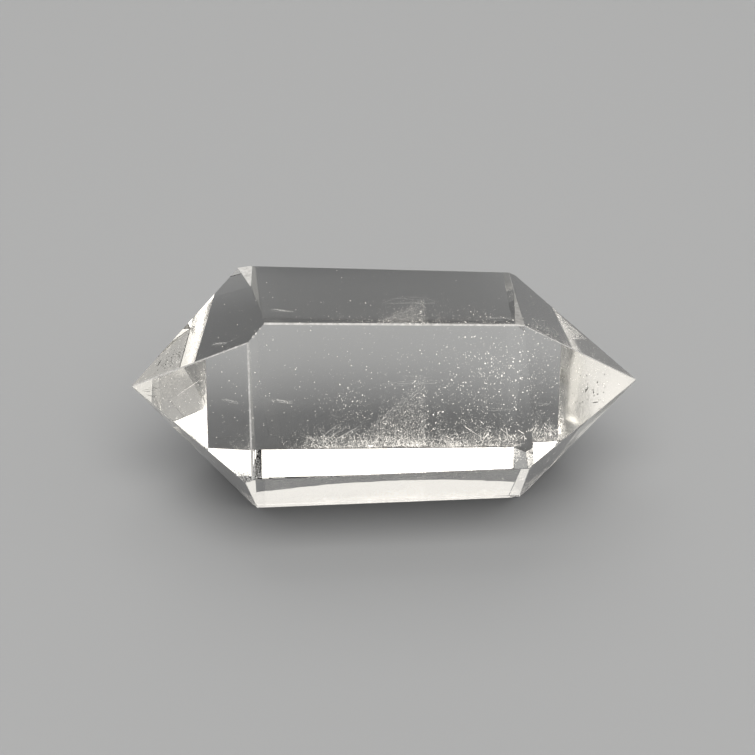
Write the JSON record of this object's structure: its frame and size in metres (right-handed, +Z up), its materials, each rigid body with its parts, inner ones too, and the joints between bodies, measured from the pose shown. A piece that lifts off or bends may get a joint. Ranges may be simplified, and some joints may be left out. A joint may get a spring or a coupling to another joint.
{
  "type": "double-terminated clear quartz crystal",
  "caption": "Clear six-sided quartz crystal with a faceted point at each end, lying on one long face; see-through, with fine specks and veils sealed inside.",
  "frame": {"origin": "middle of the crystal's box, on the surface it rests on", "axes": "+X along the crystal from the thicker end to the slimmer end, +Z up, -Y towards the broad upper front face"},
  "size_m": [0.0548, 0.025, 0.024],
  "materials": {
    "clear_quartz": "polished, colourless and see-through, refractive index 1.544, with a few chips and fine scratches"
  },
  "bodies": {
    "root": {"quartz_crystal": "clear_quartz"}
  },
  "joints": []
}
